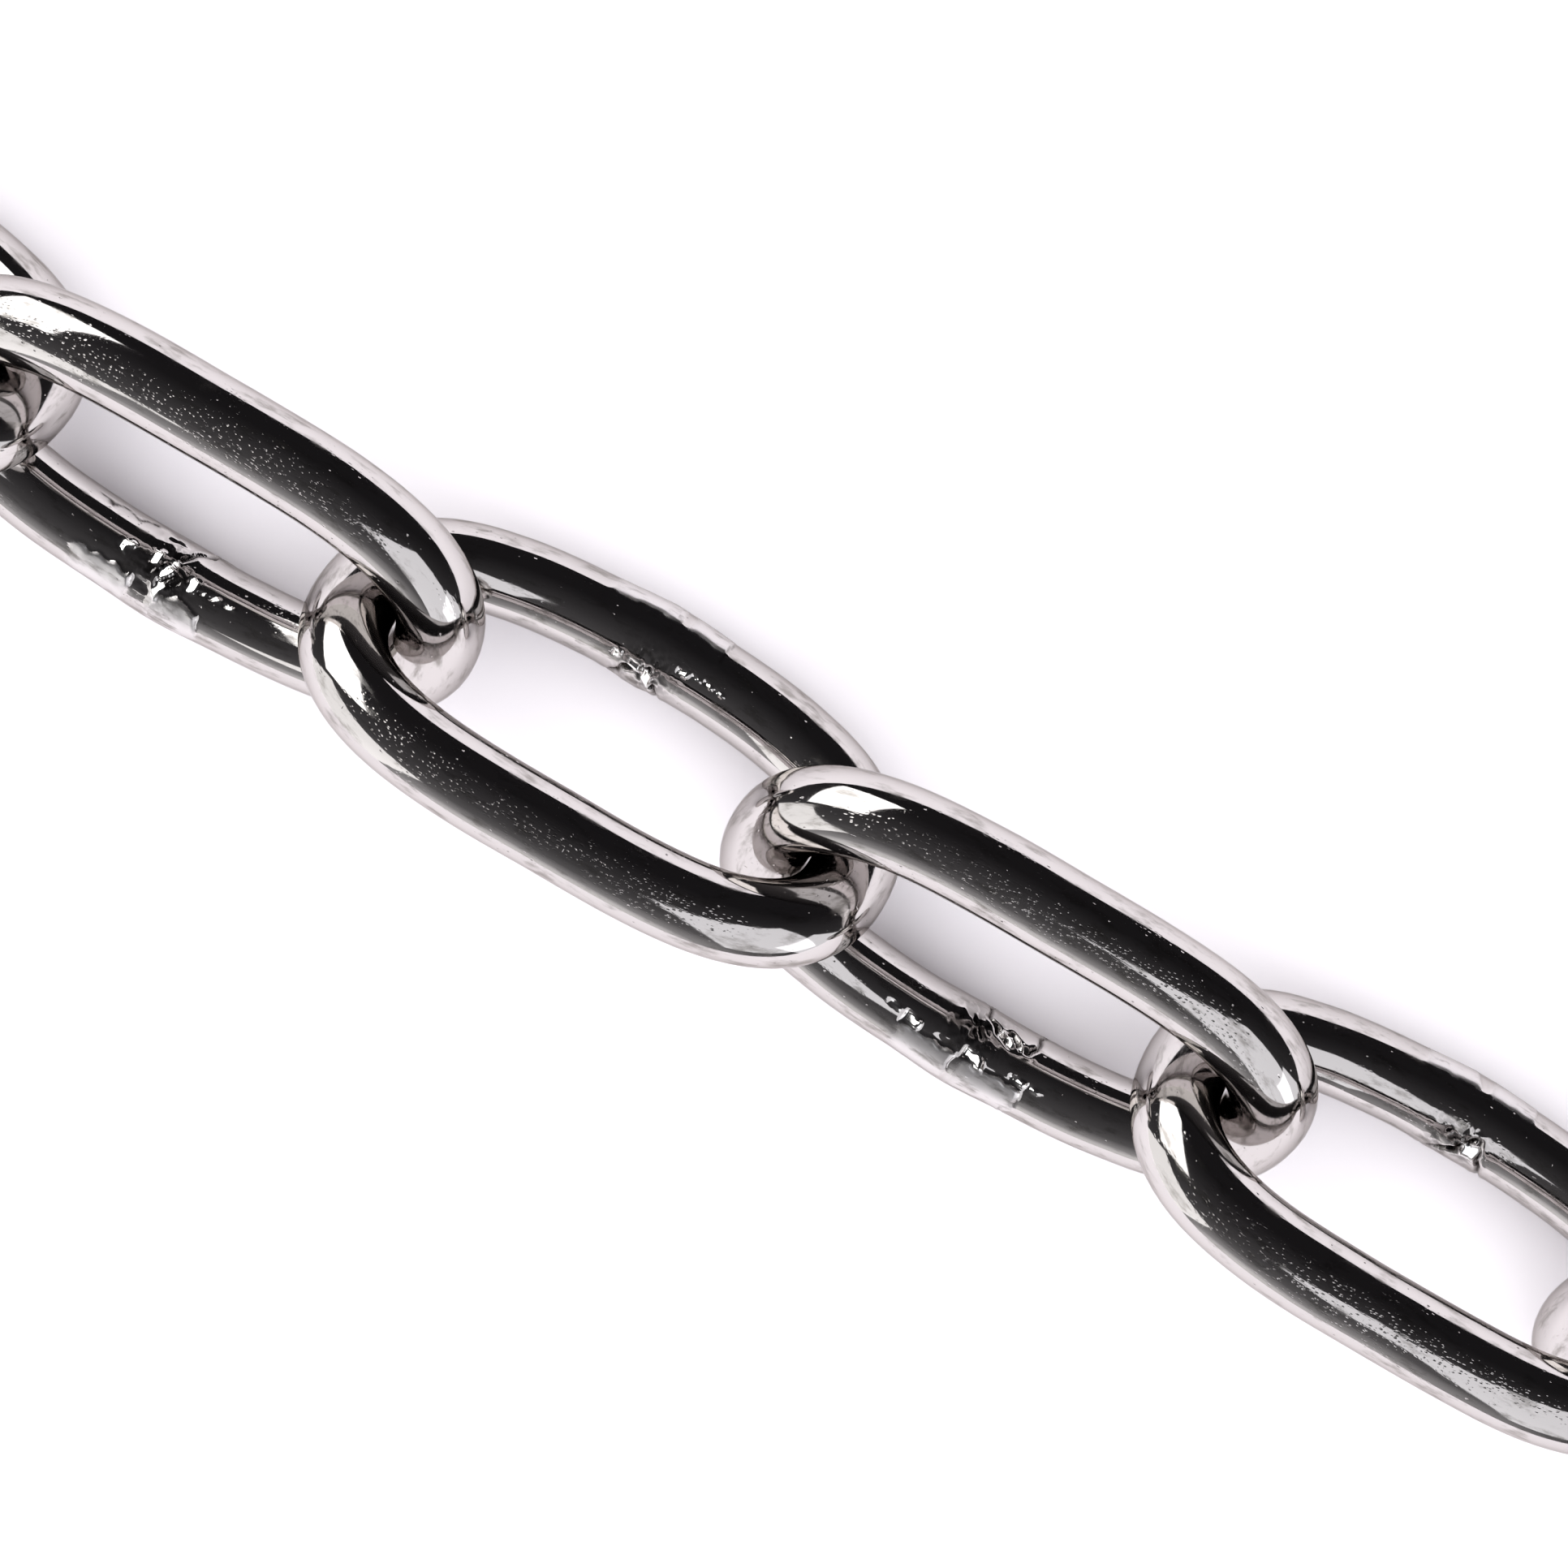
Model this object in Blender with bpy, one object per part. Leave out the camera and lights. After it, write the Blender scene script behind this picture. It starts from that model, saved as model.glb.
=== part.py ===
"""A straight, taut length of bright-plated welded steel link chain.

Each link is one piece of round wire, bent to a long oval and butt-welded in the middle of one leg.
The chain lies on a level floor at z = 0 and runs along X. Its links lean 45 degrees to either
side in turn, each resting on the swollen weld of its lower leg. Units are metres, +Z is up.
"""

import math

import bpy

# The wire and the link
WIRE_DIAMETER = 0.008
PITCH = 0.0426
LEG_SPACING = 0.0231
LINK_COUNT = 23
LEAN = math.radians(45)

# The oval of the wire's centreline: the higher the power, the squarer that end or side is
END_POWER = 3.57
SIDE_POWER = 2.26
OVAL_STEPS = 20

# The weld in the middle of the lower leg
WELD_SWELL = 0.0003
WELD_FLAT = 0.0048
WELD_LENGTH = 0.0096
BOW_HEIGHT = 0.001
BOW_REACH = 0.016

# The faceted wire and the play between two links
WIRE_SIDES = 12
SEAT_GAP = 0.0003

WIRE_RADIUS = WIRE_DIAMETER / 2
FACET = math.cos(math.pi / WIRE_SIDES)
CORNER_RADIUS = WIRE_RADIUS / FACET
CROWN_X = PITCH / 2 + CORNER_RADIUS + SEAT_GAP / 2
LEG_Y = LEG_SPACING / 2
WELD_RADIUS = WIRE_RADIUS + WELD_SWELL

CHAIN_NAME = "welded_link_chain"


def clear_scene():
    """Remove every object, so that the script can be run again."""
    for old in list(bpy.data.objects):
        bpy.data.objects.remove(old, do_unlink=True)


def plated_steel():
    """The bright nickel-like plating that all the links share."""
    material = bpy.data.materials.new("plated_steel")
    material.use_nodes = True
    shader = material.node_tree.nodes["Principled BSDF"]
    shader.inputs["Base Color"].default_value = (0.72, 0.72, 0.73, 1.0)
    shader.inputs["Metallic"].default_value = 1.0
    shader.inputs["Roughness"].default_value = 0.18
    return material


def oval_point(angle):
    """A point of the wire's centreline: x along the chain, y across the link."""
    along, across = math.cos(angle), math.sin(angle)
    x = math.copysign(CROWN_X * abs(along) ** (2 / END_POWER), along)
    y = math.copysign(LEG_Y * abs(across) ** (2 / SIDE_POWER), across)
    return x, y


def leg_y(x):
    """How far the centreline lies from the middle of the link, at x along it."""
    return LEG_Y * (1 - abs(x / CROWN_X) ** END_POWER) ** (1 / SIDE_POWER)


def weld_leg_y(x):
    """The same for the welded leg, which lies on the -y side and is bowed outwards by its weld."""
    return -leg_y(x) - BOW_HEIGHT * max(0.0, 1 - abs(x) / BOW_REACH)


def link_stations():
    """The closed centreline of one link as (x, y, radius), with the weld in its -y leg."""
    stations = []
    for step in range(OVAL_STEPS):
        x, y = oval_point(2 * math.pi * step / OVAL_STEPS)
        if step == OVAL_STEPS * 3 // 4:
            flat, end = WELD_FLAT / 2, WELD_LENGTH / 2
            for weld_x in (-end, -flat, flat, end):
                radius = WELD_RADIUS if abs(weld_x) == flat else WIRE_RADIUS
                stations.append((weld_x, weld_leg_y(weld_x), radius))
        elif step > OVAL_STEPS // 2:
            stations.append((x, weld_leg_y(x), WIRE_RADIUS))
        else:
            stations.append((x, y, WIRE_RADIUS))
    return stations


def link_curve(material):
    """The wire of one link as a closed curve with a round bevel.

    The curve's origin is on the axis that the link swings on: the middle of its neighbour's
    crown, one seat inside this link's own crown.
    """
    curve = bpy.data.curves.new("link", "CURVE")
    curve.dimensions = "3D"
    curve.twist_mode = "Z_UP"
    curve.bevel_depth = CORNER_RADIUS
    curve.bevel_resolution = (WIRE_SIDES - 4) // 2
    curve.use_fill_caps = True
    curve.materials.append(material)
    stations = link_stations()
    spline = curve.splines.new("POLY")
    spline.points.add(len(stations) - 1)
    for point, (x, y, radius) in zip(spline.points, stations):
        point.co = (x + PITCH - CROWN_X, y, 0.0, 1.0)
        point.radius = radius / WIRE_RADIUS
    spline.use_cyclic_u = True
    spline.use_smooth = True
    return curve


def build_chain():
    """Hang each link in the one before it, turned a quarter about the chain's length."""
    chain = bpy.data.collections.new(CHAIN_NAME)
    bpy.context.scene.collection.children.link(chain)
    curve = link_curve(plated_steel())
    axis_height = -weld_leg_y(WELD_FLAT / 2) * math.sin(LEAN) + WELD_RADIUS
    first_crown = -(LINK_COUNT - 1) / 2 * PITCH - (PITCH - CROWN_X)
    previous = None
    for number in range(1, LINK_COUNT + 1):
        link = bpy.data.objects.new(f"link_{number:02d}", curve)
        chain.objects.link(link)
        if previous is None:
            link.location = (first_crown, 0.0, axis_height)
            link.rotation_euler.x = LEAN
        else:
            quarter = math.pi - 2 * LEAN
            link.parent = previous
            link.location = (PITCH, 0.0, 0.0)
            link.rotation_euler.x = quarter if number % 2 == 0 else -quarter
        previous = link


clear_scene()
build_chain()
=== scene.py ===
"""The looks of a metre of bright-plated, butt-welded steel link chain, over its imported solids.

Every link is swept again from its wire at a fine pitch, with the bow, the swelling and the folded
flash of its own weld, and rides on the body of the plain link that it stands for. Lengths are in
millimetres until a mesh, a light or the camera is made.
"""

import logging
import math
from dataclasses import dataclass, field, replace
from enum import Enum

import bpy
import numpy as np
from mathutils import Euler, Matrix, Vector


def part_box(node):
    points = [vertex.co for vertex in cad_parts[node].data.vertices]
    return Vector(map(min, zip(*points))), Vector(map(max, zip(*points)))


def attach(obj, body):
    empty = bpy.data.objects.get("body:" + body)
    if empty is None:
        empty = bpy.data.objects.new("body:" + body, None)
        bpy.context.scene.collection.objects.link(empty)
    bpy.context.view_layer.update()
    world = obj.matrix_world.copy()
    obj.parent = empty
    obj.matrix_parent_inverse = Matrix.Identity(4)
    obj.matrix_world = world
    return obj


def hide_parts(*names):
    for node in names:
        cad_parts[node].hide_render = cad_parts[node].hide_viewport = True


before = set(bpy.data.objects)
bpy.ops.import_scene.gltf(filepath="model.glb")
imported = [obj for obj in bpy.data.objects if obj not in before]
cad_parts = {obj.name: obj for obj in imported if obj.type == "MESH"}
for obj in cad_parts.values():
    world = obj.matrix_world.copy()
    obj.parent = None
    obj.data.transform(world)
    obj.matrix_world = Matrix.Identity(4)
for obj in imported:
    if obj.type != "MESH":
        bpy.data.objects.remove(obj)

LOG = logging.getLogger("welded_chain")
MM = 0.001


def linear(code: str) -> tuple[float, float, float, float]:
    """Turn an sRGB hex colour into linear red, green, blue and alpha.

    Args:
        code: six hex digits with a leading hash.

    Returns:
        The linear colour, fully opaque.
    """
    shares = [int(code[i:i + 2], 16) / 255 for i in (1, 3, 5)]
    red, green, blue = (s / 12.92 if s <= 0.04045 else ((s + 0.055) / 1.055) ** 2.4 for s in shares)
    return red, green, blue, 1.0


def add_node(tree: bpy.types.NodeTree, kind: str, settings: dict | None = None,
             inputs: dict | None = None) -> bpy.types.Node:
    """Add one shader node with its settings, values and links.

    Args:
        tree: the node tree to add to.
        kind: the node's type name.
        settings: attributes of the node itself.
        inputs: a value, or the socket to link from, for each named or numbered input.

    Returns:
        The new node.
    """
    node = tree.nodes.new(kind)
    for name, value in (settings or {}).items():
        setattr(node, name, value)
    for name, value in (inputs or {}).items():
        if isinstance(value, bpy.types.NodeSocket):
            tree.links.new(value, node.inputs[name])
        else:
            node.inputs[name].default_value = value
    return node


@dataclass(frozen=True)
class Marks:
    """A scatter of small dents in the plating, such as pits or scratches, in millimetres."""

    spacing: tuple[float, float]
    radius: float
    share: float
    depth: float


@dataclass(frozen=True)
class NickelPlate:
    """Bright nickel, plated over drawn and tumbled steel wire.

    The plating is a mirror, so the eye sees the studio in it. Rubbing has left fine scuffs that
    glint and fray what is mirrored, most on top of the plain legs, and water stains dull it. On
    the weld, laps of flash are dull and pale; the burnished flats are coloured near white, a
    painted highlight on top of their real reflection of the lights; and the folds are coloured
    near black, painted shade in the grooves. Scuffs, pits and scratches are really a few
    hundredths of a millimetre wide, and are drawn just coarse enough to show. Each pair of shares
    says where a pattern begins to show and where it shows fully.
    """

    colour: str = "#C5C1BF"
    stain: str = "#96928E"
    lap: str = "#DEDBDA"
    # Near white on the burnished flats: partly painted highlight over their real reflection.
    flat: str = "#F4F3F0"
    # Near black in the folds and crumple hollows: painted shade.
    fold_shade: str = "#1D1917"
    rim: str = "#C6C3C1"
    gloss: float = 0.06
    dulled: float = 0.18
    frosted: float = 0.12
    lapped: float = 0.36
    stain_length: float = 3.2
    stain_width: float = 1.1
    line_length: float = 2.6
    line_width: float = 0.3
    line_depth: float = 0.012
    wear_length: float = 7.0
    wear_width: float = 2.2
    rubbed: float = 0.42
    stain_shares: tuple[float, float] = (0.5, 0.72)
    worn_shares: tuple[float, float] = (0.52, 0.92)
    frost_shares: tuple[float, float] = (0.3, 0.6)
    lap_shares: tuple[float, float] = (0.0, 0.6)
    pits: Marks = Marks(spacing=(1.1, 0.6), radius=0.12, share=0.5, depth=0.04)
    scratches: Marks = Marks(spacing=(4.0, 0.8), radius=0.08, share=0.35, depth=0.02)
    nicks: Marks = Marks(spacing=(0.9, 3.2), radius=0.08, share=0.3, depth=0.02)
    scuffs: Marks = Marks(spacing=(0.48, 0.17), radius=0.1, share=0.95, depth=0.035)

    def grain(self, tree: bpy.types.NodeTree, wire: bpy.types.NodeSocket, length: float, width: float,
              detail: float) -> bpy.types.NodeSocket:
        """Draw noise out along the wire.

        Args:
            tree: the material's nodes.
            wire: millimetres along and across the straightened wire.
            length: how long one line is.
            width: how wide one line is.
            detail: how many finer layers it has.

        Returns:
            The noise, from 0 to 1.
        """
        stretched = add_node(tree, "ShaderNodeVectorMath", {"operation": "MULTIPLY"},
                             {0: wire, 1: (1 / length, 1 / width, 1 / width)})
        noise = add_node(tree, "ShaderNodeTexNoise", None, {
            "Vector": stretched.outputs[0], "Scale": 1.0, "Detail": detail, "Roughness": 0.6})
        return noise.outputs["Fac"]

    def dents(self, tree: bpy.types.NodeTree, wire: bpy.types.NodeSocket,
              marks: Marks) -> bpy.types.NodeSocket:
        """Scatter dents of many sizes.

        Args:
            tree: the material's nodes.
            wire: millimetres along and across the straightened wire.
            marks: their spacing, their radius, and the share of the places that have one.

        Returns:
            The dent, from 0 on the sound plating to 1 at its deepest.
        """
        along, across = marks.spacing
        stretched = add_node(tree, "ShaderNodeVectorMath", {"operation": "MULTIPLY"},
                             {0: wire, 1: (1 / along, 1 / across, 1 / across)})
        cells = add_node(tree, "ShaderNodeTexVoronoi", None, {"Vector": stretched.outputs[0], "Scale": 1.0})
        chance = add_node(tree, "ShaderNodeSeparateColor", None, {"Color": cells.outputs["Color"]})
        radius = add_node(tree, "ShaderNodeMapRange", None, {
            "Value": chance.outputs[0], "From Min": 1 - marks.share, "From Max": 1.0,
            "To Min": 0.0, "To Max": marks.radius / min(marks.spacing)})
        dent = add_node(tree, "ShaderNodeMapRange", {"interpolation_type": "SMOOTHSTEP"}, {
            "Value": cells.outputs["Distance"], "From Min": 0.0, "From Max": radius.outputs[0],
            "To Min": 1.0, "To Max": 0.0})
        return dent.outputs[0]

    def material(self) -> bpy.types.Material:
        """Make the plated finish.

        Returns:
            The material that all the links share.
        """
        material = bpy.data.materials.new("bright_nickel_plate")
        material.use_nodes = True
        tree = material.node_tree
        shader = tree.nodes["Principled BSDF"]
        wire = add_node(tree, "ShaderNodeAttribute", {"attribute_name": "wire"}).outputs["Vector"]
        flash = add_node(tree, "ShaderNodeAttribute", {"attribute_name": "flash"}).outputs["Vector"]
        fold_shade, lap, flat = add_node(tree, "ShaderNodeSeparateXYZ", None, {0: flash}).outputs
        rub = add_node(tree, "ShaderNodeAttribute", {"attribute_name": "rub"}).outputs["Fac"]

        stained = add_node(tree, "ShaderNodeMapRange", {"interpolation_type": "SMOOTHSTEP"}, {
            "Value": self.grain(tree, wire, self.stain_length, self.stain_width, 6.0),
            "From Min": self.stain_shares[0], "From Max": self.stain_shares[1]}).outputs[0]
        colour = linear(self.colour)
        # Near white on the flats is partly painted highlight; near black in the folds is painted shade.
        for share, code in ((lap, self.lap), (stained, self.stain), (flat, self.flat), (fold_shade, self.fold_shade)):
            colour = add_node(tree, "ShaderNodeMix", {"data_type": "RGBA"},
                              {0: share, 6: colour, 7: linear(code)}).outputs[2]

        scuffs = self.dents(tree, wire, self.scuffs)
        patches = add_node(tree, "ShaderNodeMath", {"operation": "MULTIPLY_ADD"}, {
            0: rub, 1: self.rubbed, 2: self.grain(tree, wire, self.wear_length, self.wear_width, 4.0)})
        worn = add_node(tree, "ShaderNodeMapRange", {"interpolation_type": "SMOOTHSTEP"}, {
            "Value": patches.outputs[0],
            "From Min": self.worn_shares[0], "From Max": self.worn_shares[1]}).outputs[0]
        frost = add_node(tree, "ShaderNodeMath", {"operation": "MULTIPLY"}, {0: scuffs, 1: worn}).outputs[0]
        roughness = add_node(tree, "ShaderNodeMapRange", None, {
            "Value": stained, "To Min": self.gloss, "To Max": self.dulled}).outputs[0]
        for share, (lowest, highest), most in ((frost, self.frost_shares, self.frosted),
                                               (lap, self.lap_shares, self.lapped)):
            dull = add_node(tree, "ShaderNodeMapRange", None, {
                "Value": share, "From Min": lowest, "From Max": highest, "To Max": most}).outputs[0]
            roughness = add_node(tree, "ShaderNodeMath", {"operation": "MAXIMUM"},
                                 {0: roughness, 1: dull}).outputs[0]

        depths = [(worn, self.grain(tree, wire, self.line_length, self.line_width, 2.0), self.line_depth),
                  (worn, scuffs, -self.scuffs.depth)]
        for marks in (self.pits, self.scratches, self.nicks):
            depths.append((1.0, self.dents(tree, wire, marks), -marks.depth))
        height = 0.0
        for share, pattern, depth in depths:
            shared = add_node(tree, "ShaderNodeMath", {"operation": "MULTIPLY"},
                              {0: pattern, 1: share}).outputs[0]
            height = add_node(tree, "ShaderNodeMath", {"operation": "MULTIPLY_ADD"},
                              {0: shared, 1: depth, 2: height}).outputs[0]
        relief = add_node(tree, "ShaderNodeBump", None, {"Distance": MM, "Height": height})

        shader.inputs["Metallic"].default_value = 1.0
        shader.inputs["Specular Tint"].default_value = linear(self.rim)
        tree.links.new(colour, shader.inputs["Base Color"])
        tree.links.new(roughness, shader.inputs["Roughness"])
        tree.links.new(relief.outputs[0], shader.inputs["Normal"])
        return material


@dataclass(frozen=True)
class WhitePaper:
    """Matt white paper with a cool cast, which shows only where it is in shade."""

    colour: str = "#F9F5FA"
    roughness: float = 0.85

    def material(self) -> bpy.types.Material:
        """Make the floor's finish.

        Returns:
            The material.
        """
        material = bpy.data.materials.new("matt_white_paper")
        material.use_nodes = True
        shader = material.node_tree.nodes["Principled BSDF"]
        shader.inputs["Base Color"].default_value = linear(self.colour)
        shader.inputs["Roughness"].default_value = self.roughness
        return material


def smooth(share: np.ndarray) -> np.ndarray:
    """Ease from 0 to 1 as the share goes from 0 to 1, and stay there beyond."""
    share = np.clip(share, 0, 1)
    return share * share * (3 - 2 * share)


@dataclass(frozen=True)
class Skin:
    """The wire's surface, unrolled: millimetres in a degree around it, and in a lap of the link."""

    per_degree: float
    lap: float


@dataclass(frozen=True)
class RandomWaves:
    """A smooth random relief that closes on itself along the wire and around it."""

    seed: int
    shortest: float
    longest: float
    height: float
    count: int = 24
    slenderness: float = 1.0

    def relief(self, along: np.ndarray, around: np.ndarray, skin: Skin) -> np.ndarray:
        """Add up the waves.

        Args:
            along: millimetres along the wire.
            around: degrees around it.
            skin: the surface that the waves run over.

        Returns:
            The height in millimetres at each place.
        """
        rng = np.random.default_rng(self.seed)
        lengths = np.exp(rng.uniform(math.log(self.shortest), math.log(self.longest), self.count))
        headings = rng.uniform(0, 2 * math.pi, self.count)
        starts = rng.uniform(0, 2 * math.pi, self.count)
        total = np.zeros_like(along)
        for length, heading, start in zip(lengths, headings, starts):
            laps = round(skin.lap * math.cos(heading) / length / self.slenderness)
            turns = round(360 * skin.per_degree * math.sin(heading) / length)
            total += np.cos(2 * math.pi * (laps * along / skin.lap + turns * around / 360) + start)
        return total * self.height / math.sqrt(self.count / 2)


def nearby(along: np.ndarray, around: np.ndarray, skin: Skin, middle: tuple[float, float],
           turn: float) -> tuple[np.ndarray, np.ndarray]:
    """Measure from a place on the wire, in axes turned over the skin.

    Args:
        along: millimetres along the wire.
        around: degrees around it.
        skin: the surface that they lie on.
        middle: the place, in the same units.
        turn: how far the axes are turned, in degrees from the wire's length.

    Returns:
        Millimetres along both axes.
    """
    x, y = along - middle[0], ((around - middle[1] + 180) % 360 - 180) * skin.per_degree
    cos, sin = math.cos(math.radians(turn)), math.sin(math.radians(turn))
    return x * cos + y * sin, y * cos - x * sin


@dataclass(frozen=True)
class Lump:
    """A round rise of the flash, or a dent where its height is negative.

    Its place is in millimetres along the wire and degrees around it, from the link's outward
    side through its upper side. Its half length, half width and height are in millimetres.
    """

    along: float
    around: float
    length: float
    width: float
    height: float

    def relief(self, along: np.ndarray, around: np.ndarray, skin: Skin) -> np.ndarray:
        """Read the lump's height in millimetres at each place along and around the wire."""
        u, v = nearby(along, around, skin, (self.along, self.around), 0)
        return self.height * np.clip(1 - (u / self.length) ** 2 - (v / self.width) ** 2, 0, None) ** 1.5


@dataclass(frozen=True)
class Lap(Lump):
    """Flash pressed flat over the wire: it rises slowly from the outer side and ends at once.

    Its fades are the shares of its half length, and then of its half width, over which it
    fades in and out.
    """

    fades: tuple[float, float, float, float] = (0.5, 0.15, 0.3, 0.2)

    def share(self, along: np.ndarray, around: np.ndarray, skin: Skin) -> np.ndarray:
        """Read how fully the lap covers the wire, from 0 to 1."""
        u, v = nearby(along, around, skin, (self.along, self.around), 0)
        u, v = u / self.length, v / self.width
        start, end, outer, inner = self.fades
        lengthwise = smooth((u + 1) / start) * smooth((1 - u) / end)
        return lengthwise * smooth((v + 1) / outer) * smooth((1 - v) / inner)

    def relief(self, along: np.ndarray, around: np.ndarray, skin: Skin) -> np.ndarray:
        """Read the lap's height in millimetres at each place along and around the wire."""
        u, v = nearby(along, around, skin, (self.along, self.around), 0)
        ramp = np.clip((v / self.width + 1) / 2, 0, 1) * np.clip((u / self.length + 2) / 3, 0, 1)
        return self.height * ramp * self.share(along, around, skin)


@dataclass(frozen=True)
class Flat:
    """A burnished flat on the flash, which rises by its slope the way that it faces away from.

    Its rise and its own turn are in degrees from the wire's length towards its inner side, and
    its edge is the share of its half size over which it fades out. The plate over it is coloured
    near white, a painted highlight on top of its real reflection of the lights.
    """

    along: float
    around: float
    length: float
    width: float
    slope: float
    rise: float = 0.0
    turn: float = 0.0
    edge: float = 0.22

    def share(self, along: np.ndarray, around: np.ndarray, skin: Skin) -> np.ndarray:
        """Read how fully the flat covers each place, from 0 to 1."""
        u, v = nearby(along, around, skin, (self.along, self.around), self.turn)
        reach = np.maximum(np.abs(u) / self.length, np.abs(v) / self.width)
        return smooth((1 - reach) / self.edge)

    def relief(self, along: np.ndarray, around: np.ndarray, skin: Skin) -> np.ndarray:
        """Read how far the flat's plane lies above the round wire, in millimetres."""
        u, _ = nearby(along, around, skin, (self.along, self.around), self.rise)
        _, y = nearby(along, around, skin, (self.along, self.around), 0)
        return self.slope * u + y * y * math.pi / (360 * skin.per_degree)


@dataclass(frozen=True)
class Crease:
    """A fold line in the flash, through points in millimetres along and degrees around."""

    points: tuple[tuple[float, float], ...]
    depth: float = 0.3
    width: float = 0.24
    lip: float = 0.05
    # How dark the painted shade in the groove is, from 0 to 1.
    blackness: float = 1.0

    def relief(self, along: np.ndarray, around: np.ndarray, skin: Skin) -> np.ndarray:
        """Read the fold's depth.

        Args:
            along: millimetres along the wire.
            around: degrees around it.
            skin: the surface that it lies on.

        Returns:
            The height in millimetres at each place.
        """
        away = np.full(along.shape, np.inf)
        for (s0, a0), (s1, a1) in zip(self.points, self.points[1:]):
            run, rise = s1 - s0, (a1 - a0) * skin.per_degree
            x, y = along - s0, (around - a0) * skin.per_degree
            share = np.clip((x * run + y * rise) / (run * run + rise * rise), 0, 1)
            away = np.minimum(away, np.hypot(x - share * run, y - share * rise))
        groove = np.exp(-(away / self.width) ** 2)
        raised = np.exp(-((away - 2 * self.width) / self.width) ** 2)
        return self.lip * raised - self.depth * groove

    def painted_shade(self, along: np.ndarray, around: np.ndarray, skin: Skin) -> np.ndarray:
        """Read how much painted shade darkens the fold, from 0 to 1, at each place: most in its groove."""
        return np.clip(-self.relief(along, around, skin) / self.depth, 0, 1) * self.blackness


@dataclass(frozen=True)
class Flash:
    """The flash at each place on a wire: its height in millimetres, and three shares from 0 to 1."""

    height: np.ndarray
    fold_shade: np.ndarray
    lap: np.ndarray
    flat: np.ndarray


@dataclass(frozen=True)
class Weld:
    """The butt weld in the middle of a link's lower leg: a swelling with folded, crumpled flash.

    The waves of its crumpling and of its torn outlines run from a shortest to a longest length.
    """

    creases: tuple[Crease, ...] = ()
    lumps: tuple[Lump, ...] = ()
    flats: tuple[Flat, ...] = ()
    swell: float = 0.2
    reach: float = 6.5
    crumple: float = 0.06
    crumple_reach: float = 2.6
    crumple_around: tuple[float, float] = (150.0, 38.0)
    crumple_blackness: float = 1.0
    crumple_waves: tuple[float, float] = (0.8, 2.4)
    crumple_shares: tuple[float, float] = (0.2, 0.9)
    tear: float = 0.17
    tear_waves: tuple[float, float] = (1.3, 4.5)
    seed: int = 0
    shift: float = 0.0
    turn: float = 0.0
    gain: float = 1.0

    def flash(self, along: np.ndarray, around: np.ndarray, skin: Skin) -> Flash:
        """Lay the weld's flash over the wire.

        Args:
            along: signed millimetres from the weld's middle.
            around: degrees around the wire from its outward side through its upper side.
            skin: the surface that it lies on.

        Returns:
            The flash at each place, with the swelling in its height.
        """
        place = along - self.shift, around - self.turn
        torn = self.torn(*place, skin)
        middle, spread = self.crumple_around
        window = np.exp(-(torn[0] / self.crumple_reach) ** 2 - ((torn[1] - middle) / spread) ** 2)
        waves = np.abs(RandomWaves(self.seed, *self.crumple_waves, height=1.0).relief(*torn, skin))
        height = -self.crumple * window * waves
        low, high = self.crumple_shares
        # Painted shade: the deepest hollows of the crumpling are coloured dark.
        fold_shade = self.crumple_blackness * window * smooth((waves - low) / (high - low))
        lap, flat = np.zeros_like(along), np.zeros_like(along)
        for lump in self.lumps:
            height += lump.relief(*torn, skin)
            if isinstance(lump, Lap):
                lap = np.maximum(lap, lump.share(*torn, skin))
        for crease in self.creases:
            height += crease.relief(*torn, skin)
            fold_shade += crease.painted_shade(*torn, skin)
        for facet in self.flats:
            share = facet.share(*torn, skin)
            height += (facet.relief(*place, skin) - height) * share
            # The flat's share also paints its near-white highlight colour.
            flat = np.maximum(flat, share)
        fold_shade = np.clip(fold_shade, 0, 1) * (1 - flat)
        swelling = self.swell * smooth(1 - np.abs(along) / self.reach)
        return Flash(swelling + self.gain * height, self.gain * fold_shade, lap * (1 - fold_shade), flat)

    def torn(self, along: np.ndarray, around: np.ndarray, skin: Skin) -> tuple[np.ndarray, np.ndarray]:
        """Move each place a little, so that the flash has torn outlines.

        Args:
            along: millimetres from the weld's middle.
            around: degrees around the wire.
            skin: the surface that it lies on.

        Returns:
            The places at which to read the flash, in the same units.
        """
        pull, twist = (RandomWaves(self.seed + step, *self.tear_waves, height=self.tear)
                       for step in (50, 51))
        return (along + pull.relief(along, around, skin),
                around + twist.relief(along, around, skin) / skin.per_degree)


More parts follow.
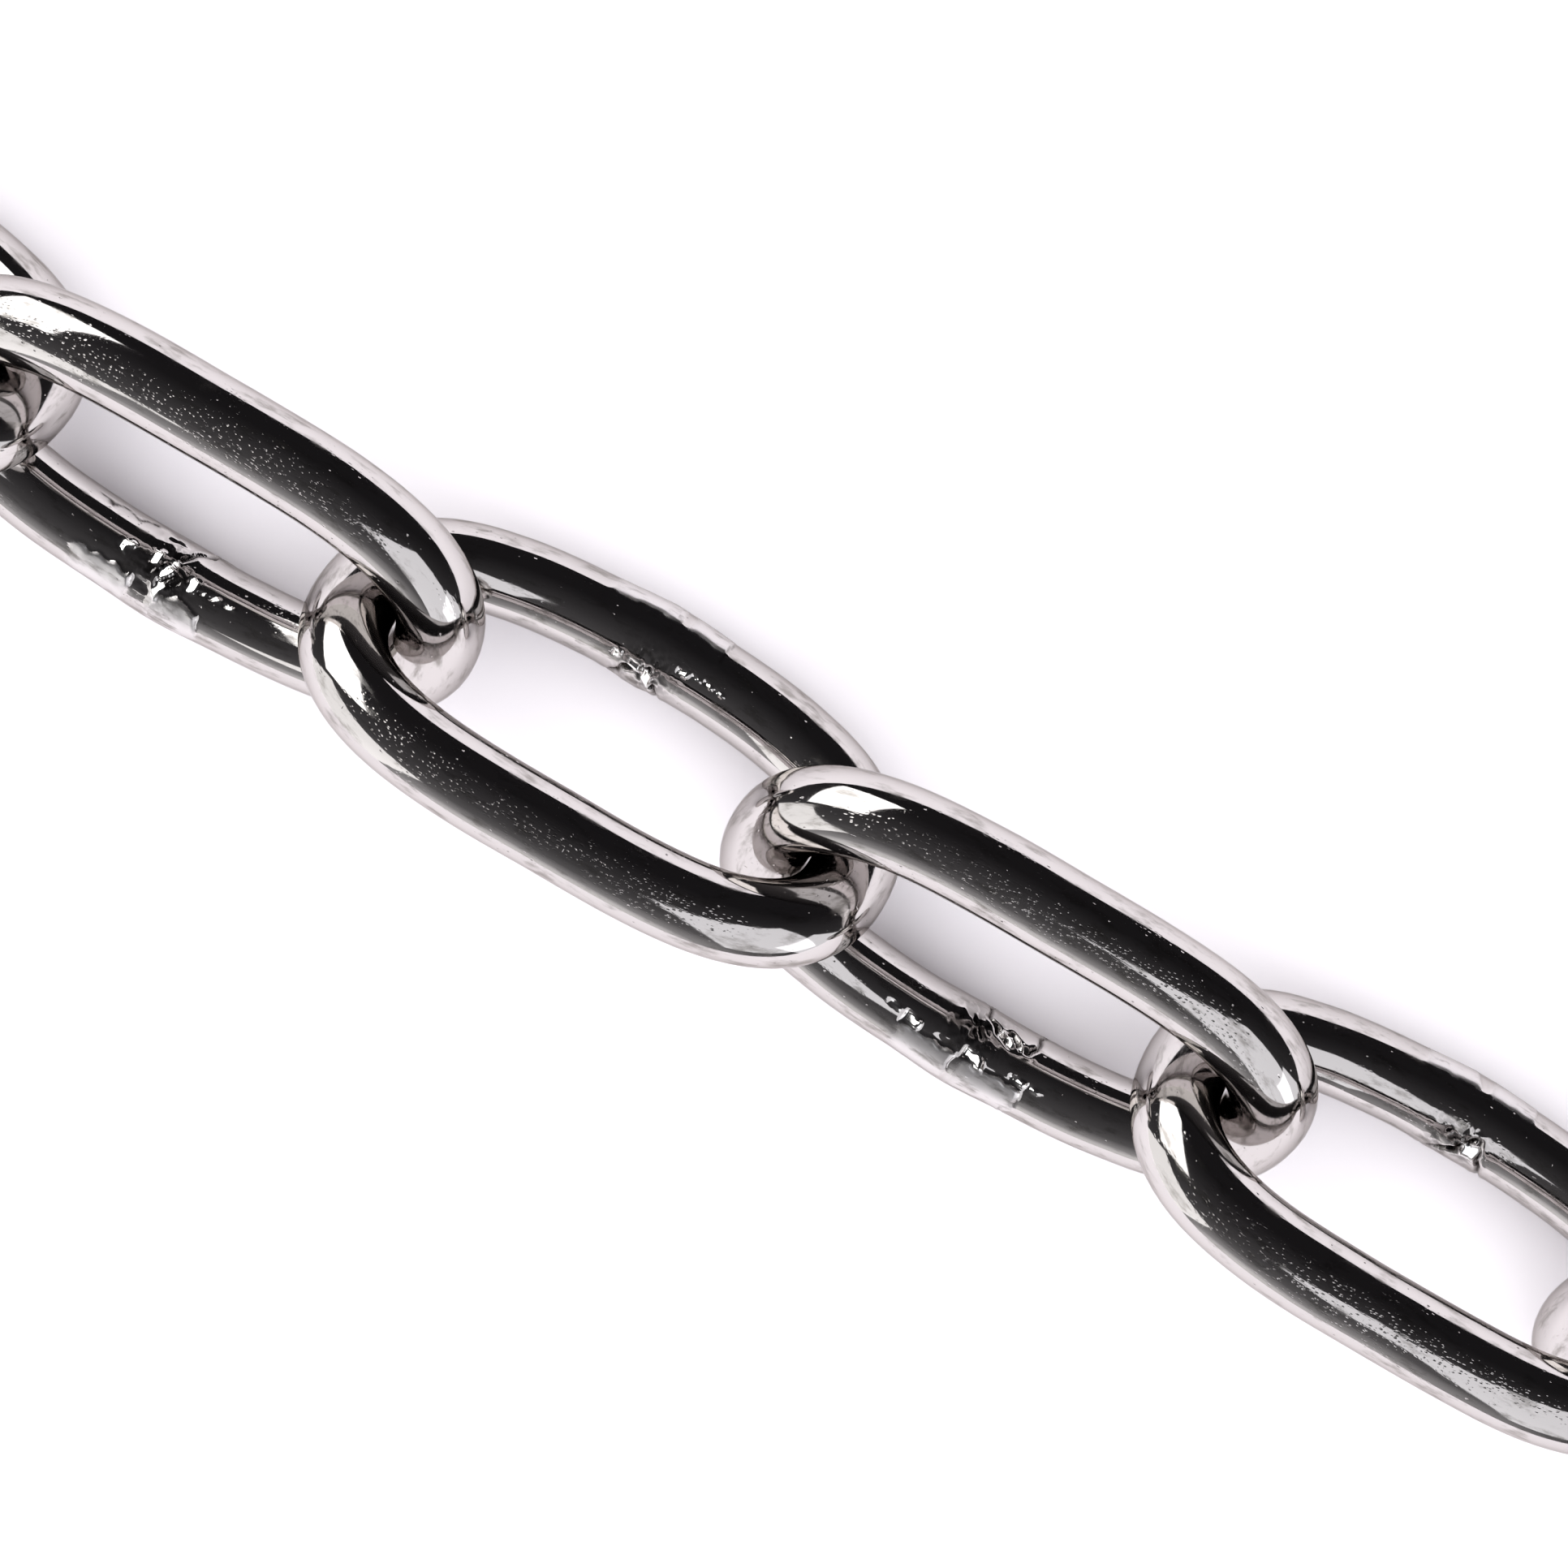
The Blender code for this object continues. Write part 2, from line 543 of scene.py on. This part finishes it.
class WeldForm(Enum):
    """The ways in which the flash of a weld was folded as it was pressed down and tumbled."""

    CRUSHED = Weld(
        creases=(
            Crease(((3.6, 232), (2.2, 205), (0.5, 165), (0.0, 125))),
            Crease(((-9.0, 200), (-6.5, 203), (-4.0, 205)), depth=0.08, width=0.13, lip=0.02),
            Crease(((-4.0, 208), (-3.4, 206)), depth=0.12, width=0.2, lip=0.02),
        ),
        lumps=(
            Lump(-1.3, 120, 1.7, 0.8, -0.25),
            Lump(-1.3, 205, 2.6, 0.8, 0.18),
            Lap(-6.0, 98, 3.6, 2.1, 0.4),
            Lap(1.9, 94, 3.0, 2.2, 0.45),
        ),
        flats=(
            Flat(-4.8, 152, 0.75, 0.65, 0.2),
            Flat(-1.6, 162, 0.65, 0.9, 0.35, rise=25),
            Flat(0.5, 168, 0.5, 0.35, 0.4, rise=40),
            Flat(0.1, 150, 0.45, 1.1, 0.32, rise=-20, turn=-30),
            Flat(0.0, 124, 0.5, 0.9, 0.55, rise=-55),
            Flat(3.0, 152, 0.75, 0.6, 0.32),
            Flat(4.4, 149, 0.4, 0.18, 0.3),
            Flat(5.5, 148, 0.5, 0.16, 0.3),
            Flat(7.0, 147, 0.6, 0.16, 0.28),
        ),
        seed=11,
    )
    TONGUE = Weld(
        creases=(
            Crease(((-4.3, 232), (-3.3, 205), (-2.3, 180), (-0.6, 165))),
            Crease(((2.0, 232), (1.7, 205), (0.9, 185), (0.2, 160))),
            Crease(((5.5, 60), (5.4, 105)), depth=0.06, width=0.12, lip=0.03, blackness=0.5),
        ),
        lumps=(
            Lump(-1.0, 205, 2.6, 2.2, 0.22),
            Lap(-3.2, 62, 4.0, 2.0, 0.26),
            Lap(3.2, 60, 2.4, 2.2, 0.3),
            Lump(0.1, 80, 0.5, 0.25, -0.16),
            Lump(1.2, 76, 0.3, 0.2, -0.14),
        ),
        flats=(
            Flat(0.2, 175, 0.75, 0.65, 0.6, rise=34),
            Flat(-3.4, 163, 0.6, 0.45, 0.5, rise=12),
            Flat(-1.3, 168, 0.7, 0.35, 0.45, rise=60),
            Flat(3.2, 142, 0.5, 0.3, 0.58, rise=49),
            Flat(4.5, 140, 0.5, 0.2, 0.55, rise=46),
            Flat(5.7, 139, 0.5, 0.18, 0.55, rise=46),
            Flat(7.0, 138, 0.5, 0.16, 0.55, rise=46),
        ),
        crumple_around=(170.0, 30.0),
        tear=0.09,
        seed=12,
    )
    NOTCHED = Weld(
        creases=(
            Crease(((0.2, 232), (0.9, 195), (1.8, 180), (3.4, 172))),
            Crease(((3.4, 186), (5.6, 174), (6.7, 232))),
            Crease(((5.5, 40), (5.4, 85)), depth=0.06, width=0.12, lip=0.03, blackness=0.5),
        ),
        lumps=(
            Lump(3.5, 177, 2.1, 1.0, -0.22),
            Lump(-2.4, 132, 1.2, 0.8, -0.12),
            Lap(-4.0, 98, 3.4, 2.0, 0.4),
            Lap(2.9, 96, 3.7, 2.1, 0.45),
        ),
        flats=(
            Flat(2.5, 178, 0.4, 0.45, 0.6, rise=44),
            Flat(3.5, 175, 0.35, 0.4, 0.6, rise=44),
            Flat(4.5, 179, 0.35, 0.5, 0.6, rise=44),
            Flat(-8.0, 136, 0.6, 0.3, 0.46, rise=-34),
            Flat(-5.8, 134, 0.95, 0.55, 0.46, rise=-34),
            Flat(1.0, 133, 1.25, 0.6, 0.43, rise=-33),
            Flat(5.6, 134, 0.8, 0.3, 0.4, rise=-34),
            Flat(7.2, 134, 0.8, 0.26, 0.4, rise=-34),
        ),
        crumple_around=(172.0, 28.0),
        tear=0.13,
        seed=13,
    )
    PINCHED = Weld(
        creases=(
            Crease(((-2.8, 232), (-1.8, 200), (0.4, 172), (1.3, 150))),
            Crease(((4.2, 232), (3.5, 198), (2.6, 172), (1.9, 150))),
        ),
        lumps=(
            Lump(0.0, 180, 0.7, 0.8, -0.14),
            Lap(-3.5, 62, 3.0, 2.0, 0.24),
            Lap(2.8, 62, 2.7, 2.0, 0.26),
        ),
        flats=(
            Flat(1.5, 168, 0.9, 0.8, 0.5, rise=110),
        ),
        crumple_around=(170.0, 30.0),
        tear=0.09,
        seed=14,
    )


class Lean(Enum):
    """The side of the chain on which a link's upper leg lies."""

    PLUS_Y = 1
    MINUS_Y = -1


@dataclass
class Link:
    """One link: a round wire bent to a long oval and butt-welded in its lower leg."""

    node: str
    number: int
    wire: float = 8.0
    pitch: float = 42.6
    leg_spacing: float = 23.1
    end_power: float = 3.57
    side_power: float = 2.26
    seat_play: float = 0.04
    bow_height: float = 1.0
    bow_reach: float = 16.0
    bow_softness: float = 2.4
    sides: int = 96
    crowding: float = 0.42
    crowded_side: float = 160.0
    fine_reach: float = 7.0
    fine_step: float = 0.18
    coarse_step: float = 1.1
    step_growth: float = 5.0
    rubbed_around: tuple[float, float] = (50.0, 20.0)
    plain_shares: tuple[float, float] = (0.36, 0.48)
    centreline_points: int = 6001
    first_seen: int = 10
    waves_crest: float = 2.8
    weld: Weld = field(init=False)
    waves: RandomWaves = field(init=False)

    def __post_init__(self) -> None:
        """Read the link's place from the frame and give it a weld and a waviness of its own."""
        low, high = (np.array(corner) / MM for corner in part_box(self.node))
        self.middle = (low[0] + high[0]) / 2
        self.lean = Lean.PLUS_Y if low[1] + high[1] < 0 else Lean.MINUS_Y
        self.height = high[2] - self.wire / 2 - self.leg_spacing / 2 * math.sin(math.pi / 4)
        self.crown = self.pitch / 2 + self.wire / 2 + self.seat_play / 2
        forms = list(WeldForm)
        turn, place = divmod(self.number - self.first_seen, len(forms))
        rng = np.random.default_rng(self.number)
        self.weld = forms[place].value
        if turn:
            self.weld = replace(self.weld, seed=100 + self.number, shift=rng.uniform(-0.8, 0.8),
                                turn=rng.uniform(-12, 12), gain=rng.uniform(0.6, 1.05))
        self.waves = RandomWaves(200 + self.number, shortest=5.0, longest=14.0, height=0.014,
                                 slenderness=1.6)

    def centreline(self) -> tuple[np.ndarray, np.ndarray, np.ndarray]:
        """Walk the wire's centreline once, from the weld round the link and back.

        Returns:
            Distance along the wire, and the places along and across the link.
        """
        turn = np.linspace(-math.pi / 2, 3 * math.pi / 2, self.centreline_points)
        cos, sin = np.cos(turn), np.sin(turn)
        x = self.crown * np.sign(cos) * np.abs(cos) ** (2 / self.end_power)
        v = self.leg_spacing / 2 * np.sign(sin) * np.abs(sin) ** (2 / self.side_power)
        ridge = np.hypot(x, self.bow_softness)
        v -= np.where(sin < 0, self.bow_height * np.clip(1 - ridge / self.bow_reach, 0, None), 0)
        s = np.concatenate([[0], np.cumsum(np.hypot(np.diff(x), np.diff(v)))])
        return s, x, v

    def stations(self, total: float) -> np.ndarray:
        """Choose where the rings of the mesh go: close together at the weld.

        Args:
            total: the length of the wire.

        Returns:
            The distances along the wire, from 0 to its whole length.
        """
        places = [0.0]
        while places[-1] < total / 2:
            share = np.clip((places[-1] - self.fine_reach) / self.step_growth, 0, 1)
            places.append(places[-1] + self.fine_step + (self.coarse_step - self.fine_step) * share)
        half = np.array(places) * (total / 2) / places[-1]
        return np.concatenate([half, total - half[-2::-1]])

    def surface(self) -> tuple[np.ndarray, np.ndarray, np.ndarray, np.ndarray]:
        """Sweep the wire's round section along the centreline, with the weld's relief.

        Returns:
            The world places of each ring's points and the same points on the straightened wire,
            both in millimetres, the shares of painted fold shade, of lap and of flat with its painted
            highlight, and how rubbed each is. The last ring lies on the first, one whole wire further
            along.
        """
        s, x, v = self.centreline()
        total = s[-1]
        rings = self.stations(total)
        reach = 0.05
        ahead, behind = np.mod(rings + reach, total), np.mod(rings - reach, total)
        tangent = np.array([np.interp(ahead, s, line) - np.interp(behind, s, line) for line in (x, v)])
        tangent /= np.hypot(*tangent)
        even = np.linspace(0, 2 * math.pi, self.sides, endpoint=False)
        angle = even - self.crowding * np.sin(even - math.radians(self.crowded_side))
        along = np.where(rings > total / 2, rings - total, rings)
        grid_s, grid_a = np.meshgrid(along, angle, indexing="ij")
        degrees = np.degrees(grid_a) % 360
        skin = Skin(math.pi * self.wire / 360, total)
        hollows = self.waves.relief(grid_s, degrees, skin) - self.waves_crest * self.waves.height
        flash = self.weld.flash(grid_s, degrees, skin)
        radius = self.wire / 2 + flash.height + hollows
        across, up = radius * np.cos(grid_a), radius * np.sin(grid_a)
        px = np.interp(rings, s, x)[:, None] + tangent[1][:, None] * across
        pv = np.interp(rings, s, v)[:, None] - tangent[0][:, None] * across
        half = math.sqrt(0.5)
        world = np.stack([
            self.middle + px,
            self.lean.value * half * (pv - up),
            self.height + half * (pv + up),
        ], axis=-1)
        straight = np.stack([
            np.broadcast_to(rings[:, None] + self.number * total, across.shape), across, up], axis=-1)
        low, high = self.plain_shares
        plain_leg = smooth((np.interp(rings, s, v) / self.leg_spacing - low) / (high - low))[:, None]
        middle, spread = self.rubbed_around
        rub = plain_leg * np.exp(-(((degrees - middle + 180) % 360 - 180) / spread) ** 2)
        return world, straight, np.stack([flash.fold_shade, flash.lap, flash.flat], axis=-1), rub

    def build(self, material: bpy.types.Material) -> bpy.types.Object:
        """Make the link's mesh and hang it on its body.

        Args:
            material: the plated finish.

        Returns:
            The link, riding on its body in place of the plain node.
        """
        world, straight, shares, rub = self.surface()
        count = len(world) - 1
        ring = np.arange(count)[:, None]
        spoke = np.arange(self.sides)[None, :]
        next_spoke = (spoke + 1) % self.sides
        corners = [(ring, spoke), (ring, next_spoke), (ring + 1, next_spoke), (ring + 1, spoke)]
        if self.lean is Lean.PLUS_Y:
            corners.reverse()
        pairs = [np.broadcast_arrays(*corner) for corner in corners]
        faces = np.stack([(r % count) * self.sides + a for r, a in pairs], axis=-1).reshape(-1, 4)
        unrolled = np.stack([straight[r, a] for r, a in pairs], axis=2)
        mesh = bpy.data.meshes.new(f"{self.node}_wire")
        mesh.from_pydata((world[:-1].reshape(-1, 3) * MM).tolist(), [], faces.tolist())
        mesh.attributes.new("wire", "FLOAT_VECTOR", "CORNER").data.foreach_set(
            "vector", unrolled.astype(np.float32).ravel())
        # The flash attribute holds the painted fold shade, then the lap, then the flat with its painted
        # highlight.
        mesh.attributes.new("flash", "FLOAT_VECTOR", "POINT").data.foreach_set(
            "vector", shares[:-1].astype(np.float32).ravel())
        mesh.attributes.new("rub", "FLOAT", "POINT").data.foreach_set(
            "value", rub[:-1].astype(np.float32).ravel())
        mesh.shade_smooth()
        mesh.materials.append(material)
        link = bpy.data.objects.new(f"{self.node}_wire", mesh)
        bpy.context.scene.collection.objects.link(link)
        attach(link, self.node)
        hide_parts(self.node)
        return link


@dataclass(frozen=True)
class Softbox:
    """A soft light far from the chain, placed and sized by the angles at which the chain sees it.

    Its middle is so many degrees from overhead towards +X and +Y, its spread is its width and
    depth in degrees, and its heading is the way that its depth runs, in degrees from +X. A glow
    of 1 is as bright as white paper should look.
    """

    name: str
    toward: tuple[float, float]
    spread: tuple[float, float]
    heading: float
    glow: float
    colour: str = "#FFFFFF"
    mirrored: bool = True
    distance: float = 3000.0

    def build(self) -> bpy.types.Object:
        """Hang the light.

        Returns:
            The light, facing the middle of the chain.
        """
        tilt = math.radians(math.hypot(*self.toward))
        azimuth = math.atan2(self.toward[1], self.toward[0])
        outward = Vector((math.sin(tilt) * math.cos(azimuth), math.sin(tilt) * math.sin(azimuth),
                          math.cos(tilt)))
        downward = Vector((math.cos(tilt) * math.cos(azimuth), math.cos(tilt) * math.sin(azimuth),
                           -math.sin(tilt)))
        axes = Matrix((downward.cross(outward), downward, outward)).transposed()
        twist = Matrix.Rotation(math.radians(self.heading) - azimuth, 3, "Z")
        data = bpy.data.lights.new(self.name, "AREA")
        data.shape = "RECTANGLE"
        width, depth = (2 * self.distance * MM * math.tan(math.radians(v / 2)) for v in self.spread)
        data.size, data.size_y = width, depth
        data.energy = math.pi * self.glow * width * depth
        data.color = linear(self.colour)[:3]
        lamp = bpy.data.objects.new(self.name, data)
        lamp.matrix_world = Matrix.Translation(outward * self.distance * MM) @ (axes @ twist).to_4x4()
        lamp.visible_camera = False
        lamp.visible_glossy = self.mirrored
        bpy.context.scene.collection.objects.link(lamp)
        return lamp


@dataclass(frozen=True)
class Studio:
    """The pale floor, the soft lights and the camera above the chain."""

    eye: tuple[float, float, float] = (16.5, 37.1, 279.8)
    lean: float = 6.93
    tip: float = -0.11
    turn: float = 30.23
    lens: float = 69.1
    floor_side: float = 8000.0
    backdrop: str = "#F1F0F3"
    softboxes: tuple[Softbox, ...] = (
        Softbox("left_box", (-48.5, 26), (36, 54), 90, 2.6),
        Softbox("right_box", (44, -25), (52, 62), -49, 1.13, colour="#F9FAFF"),
        Softbox("side_box", (77, -20), (34, 30), -15, 1.13, colour="#F9FAFF"),
        Softbox("front_box", (-56, -52), (54, 46), -138, 1.3),
        Softbox("floor_key", (-5, -24), (146, 140), -90, 1.3, mirrored=False),
    )
    surroundings: tuple[tuple[float, str], ...] = (
        (-1.0, "#FFFFFF"),
        (-0.98, "#E6E5E7"),
        (-0.95, "#AAA9AB"),
        (-0.88, "#8E8D8F"),
        (-0.8, "#6A696B"),
        (-0.55, "#515052"),
        (-0.1, "#403F41"),
        (0.45, "#2B2A2C"),
        (0.7, "#201F21"),
        (1.0, "#201F21"),
    )

    def camera(self) -> bpy.types.Object:
        """Put the camera at the photograph's viewing angle.

        Returns:
            The camera, set as the scene's own.
        """
        data = bpy.data.cameras.new("camera")
        data.lens = self.lens
        data.sensor_width = 36
        data.clip_start = 0.01
        eye = bpy.data.objects.new("camera", data)
        eye.location = Vector(self.eye) * MM
        angles = [math.radians(v) for v in (-self.lean, -self.tip, self.turn)]
        eye.rotation_mode = "ZYX"
        eye.rotation_euler = Euler(angles, "ZYX")
        bpy.context.scene.collection.objects.link(eye)
        bpy.context.scene.camera = eye
        return eye

    def floor(self) -> bpy.types.Object:
        """Lay the pale floor just under the chain.

        Returns:
            The floor.
        """
        bpy.ops.mesh.primitive_plane_add(size=self.floor_side * MM)
        floor = bpy.context.object
        floor.name = "pale_floor"
        floor.data.materials.append(WhitePaper().material())
        return floor

    def room(self) -> bpy.types.World:
        """Shade the room around the lights: dim, and darkest above the +Y side.

        Returns:
            The world, which is pale where it shows behind the floor.
        """
        world = bpy.data.worlds.new("studio_room")
        bpy.context.scene.world = world
        world.use_nodes = True
        tree = world.node_tree
        tree.nodes.clear()
        heading = add_node(tree, "ShaderNodeTexCoord")
        parts = add_node(tree, "ShaderNodeSeparateXYZ", None, {0: heading.outputs["Generated"]})
        share = add_node(tree, "ShaderNodeMapRange", None, {"Value": parts.outputs[1], "From Min": -1.0})
        ramp = add_node(tree, "ShaderNodeValToRGB", None, {0: share.outputs[0]})
        stops = ramp.color_ramp.elements
        for place, code in self.surroundings[1:-1]:
            stops.new((place + 1) / 2)
        for stop, (place, code) in zip(stops, self.surroundings):
            stop.color = linear(code)
        room = add_node(tree, "ShaderNodeBackground", None, {"Color": ramp.outputs[0]})
        behind = add_node(tree, "ShaderNodeBackground", None, {"Color": linear(self.backdrop)})
        seen = add_node(tree, "ShaderNodeLightPath")
        mix = add_node(tree, "ShaderNodeMixShader", None, {
            0: seen.outputs["Is Camera Ray"], 1: room.outputs[0], 2: behind.outputs[0]})
        add_node(tree, "ShaderNodeOutputWorld", None, {0: mix.outputs[0]})
        return world

    def build(self) -> None:
        """Set up the camera, floor, room and lights, with plain photographic tones."""
        bpy.context.scene.view_settings.view_transform = "Standard"
        self.camera()
        self.floor()
        self.room()
        for softbox in self.softboxes:
            softbox.build()


def main() -> None:
    """Build the chain and its studio."""
    logging.basicConfig(level=logging.INFO, format="%(name)s: %(message)s")
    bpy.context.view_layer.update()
    plate = NickelPlate().material()
    for number, node in enumerate(sorted(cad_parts)):
        link = Link(node, number).build(plate)
        LOG.info("%s has %d faces", link.name, len(link.data.polygons))
    Studio().build()


if __name__ == "__main__":
    main()
